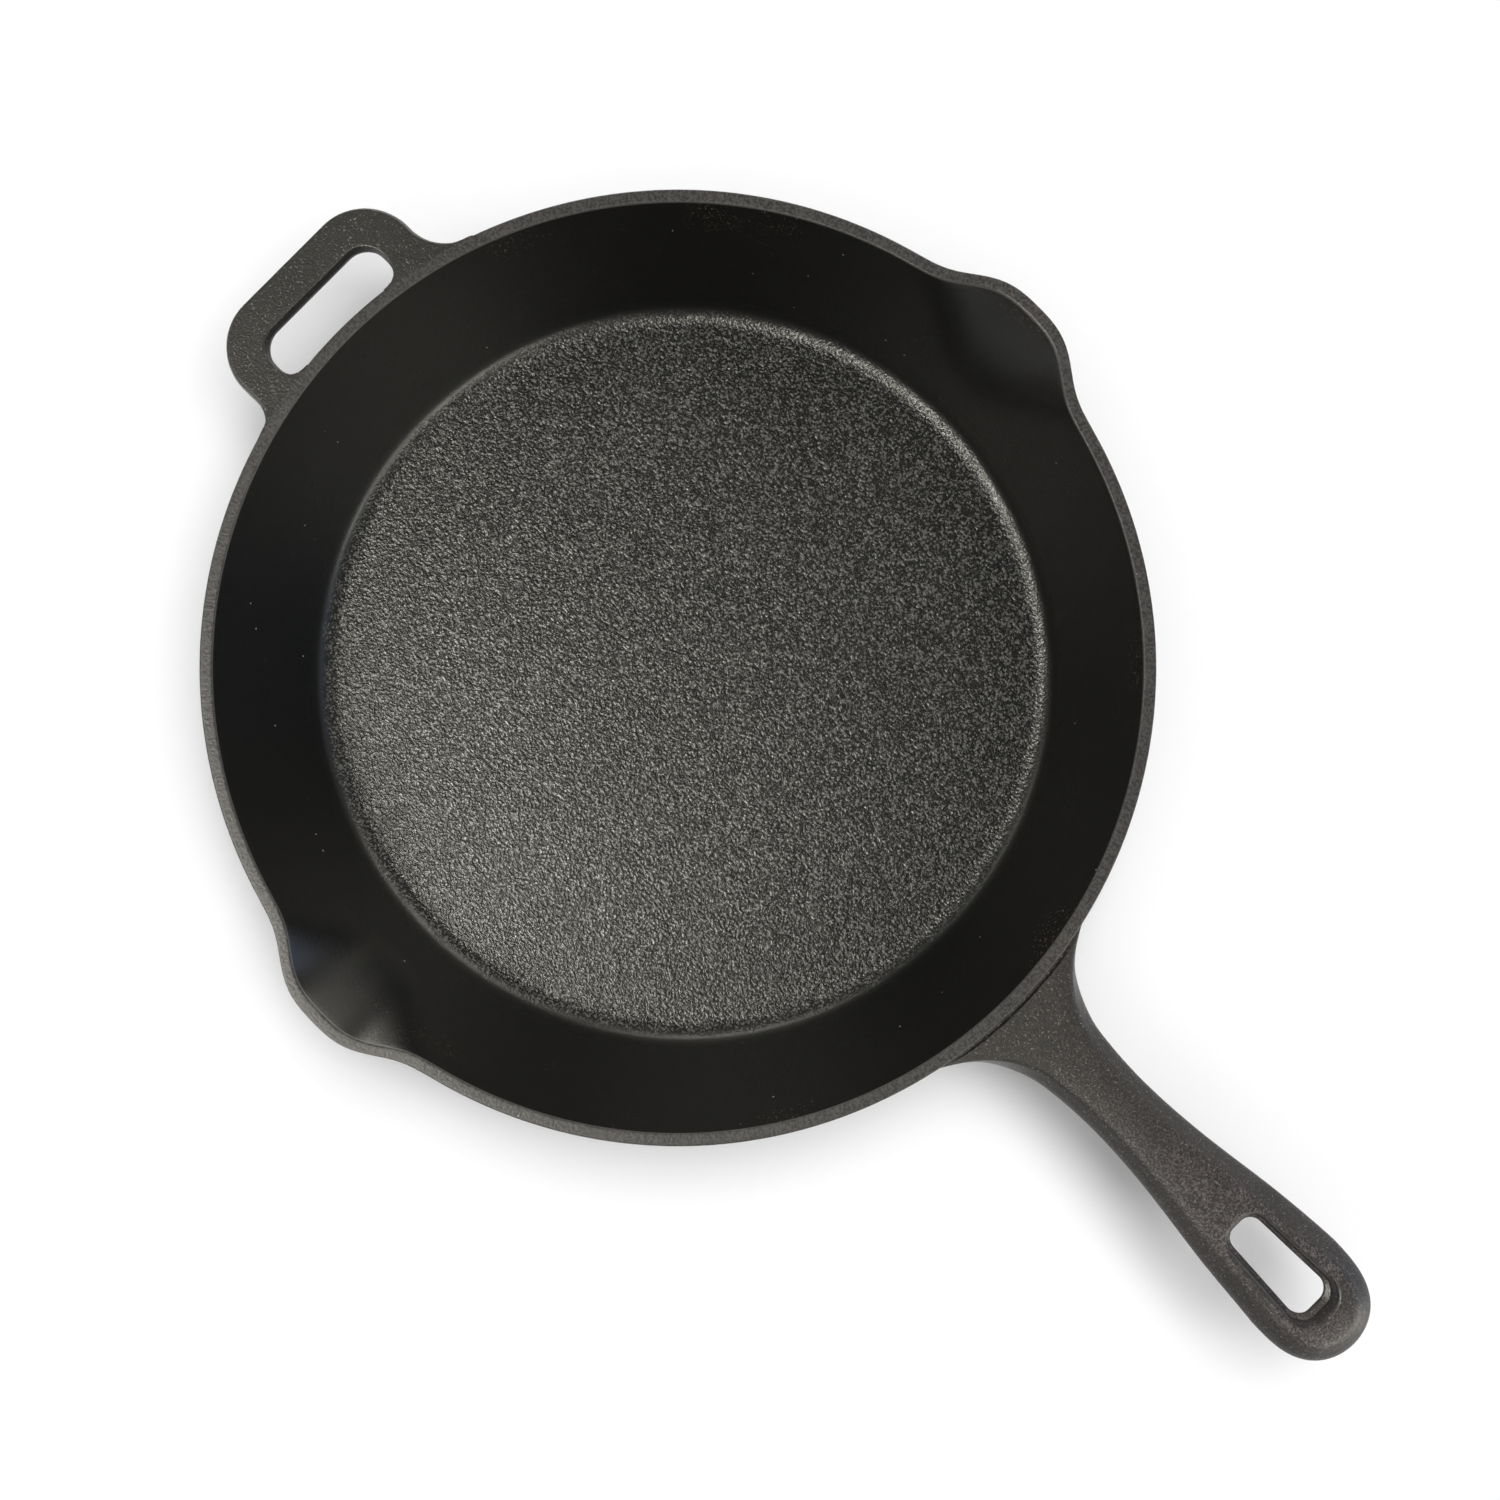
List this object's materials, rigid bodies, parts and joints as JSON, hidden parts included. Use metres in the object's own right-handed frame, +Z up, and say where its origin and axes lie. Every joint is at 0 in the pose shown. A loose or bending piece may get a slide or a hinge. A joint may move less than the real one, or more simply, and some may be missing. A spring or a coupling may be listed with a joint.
{
  "type": "cast iron skillet",
  "caption": "Round cast iron frying pan with flared wall, flat rim, pour spouts, a long handle with a hanging slot and a short loop handle opposite.",
  "frame": {"origin": "centre of the pan's flat underside", "axes": "+X along the long handle, +Z up out of the pan's mouth, pour spouts towards +Y and -Y"},
  "size_m": [0.4893, 0.3257, 0.055],
  "materials": {
    "pan_iron": "seasoned black, pebbled cooking floor, smoother wall, ground flat rim",
    "handle_iron": "seasoned satin black-brown over fine sand-cast grain"
  },
  "bodies": {
    "root": {"pan_body": "pan_iron", "long_handle": "handle_iron", "helper_handle": "handle_iron"}
  },
  "joints": []
}
